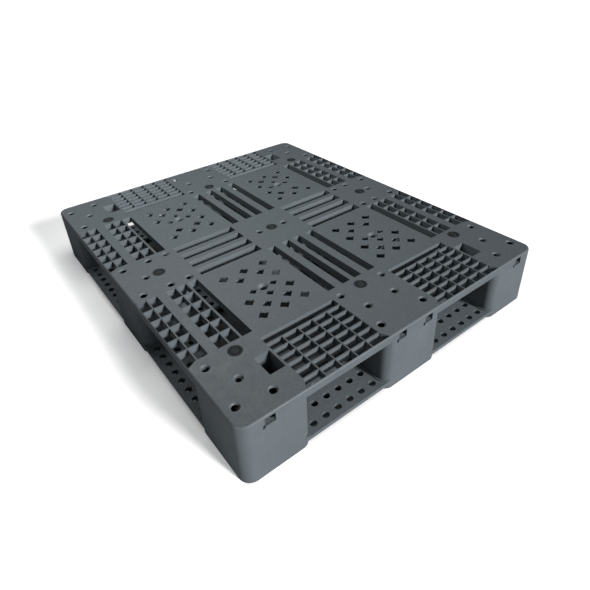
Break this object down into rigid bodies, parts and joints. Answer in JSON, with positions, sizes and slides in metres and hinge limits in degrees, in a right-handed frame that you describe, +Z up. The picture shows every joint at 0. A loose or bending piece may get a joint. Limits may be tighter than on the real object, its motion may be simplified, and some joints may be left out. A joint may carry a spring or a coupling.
{
  "type": "plastic pallet",
  "caption": "Four-way plastic pallet with a ribbed, slotted deck on hollow legs, a perimeter bottom deck, steel reinforcing tubes and anti-slip plugs.",
  "frame": {"origin": "on the ground, under the middle of the deck", "axes": "+X along the 1200 mm length, +Y along the 1000 mm width, +Z up through the load face"},
  "size_m": [1.2, 1, 0.1758],
  "materials": {
    "deck_plastic": "matt moulded polyethylene, dark slate grey",
    "board_plastic": "matt moulded polyethylene, dark slate grey",
    "tube_steel": "black paint on steel",
    "clip_plastic": "satin moulded plastic, dark grey",
    "plug_rubber": "matt, dark grey"
  },
  "bodies": {
    "root": {"top_deck": "deck_plastic", "bottom_deck": "board_plastic", "tube_front_outer": "tube_steel", "tube_front_inner": "tube_steel", "tube_back_inner": "tube_steel", "tube_back_outer": "tube_steel", "clip_right_front_outer": "clip_plastic", "clip_right_front_inner": "clip_plastic", "clip_right_back_inner": "clip_plastic", "clip_right_back_outer": "clip_plastic", "clip_left_front_outer": "clip_plastic", "clip_left_front_inner": "clip_plastic", "clip_left_back_inner": "clip_plastic", "clip_left_back_outer": "clip_plastic", "plug_front_left": "plug_rubber", "plug_front_middle": "plug_rubber", "plug_front_right": "plug_rubber", "plug_middle_left": "plug_rubber", "plug_centre": "plug_rubber", "plug_middle_right": "plug_rubber", "plug_back_left": "plug_rubber", "plug_back_middle": "plug_rubber", "plug_back_right": "plug_rubber"}
  },
  "joints": []
}
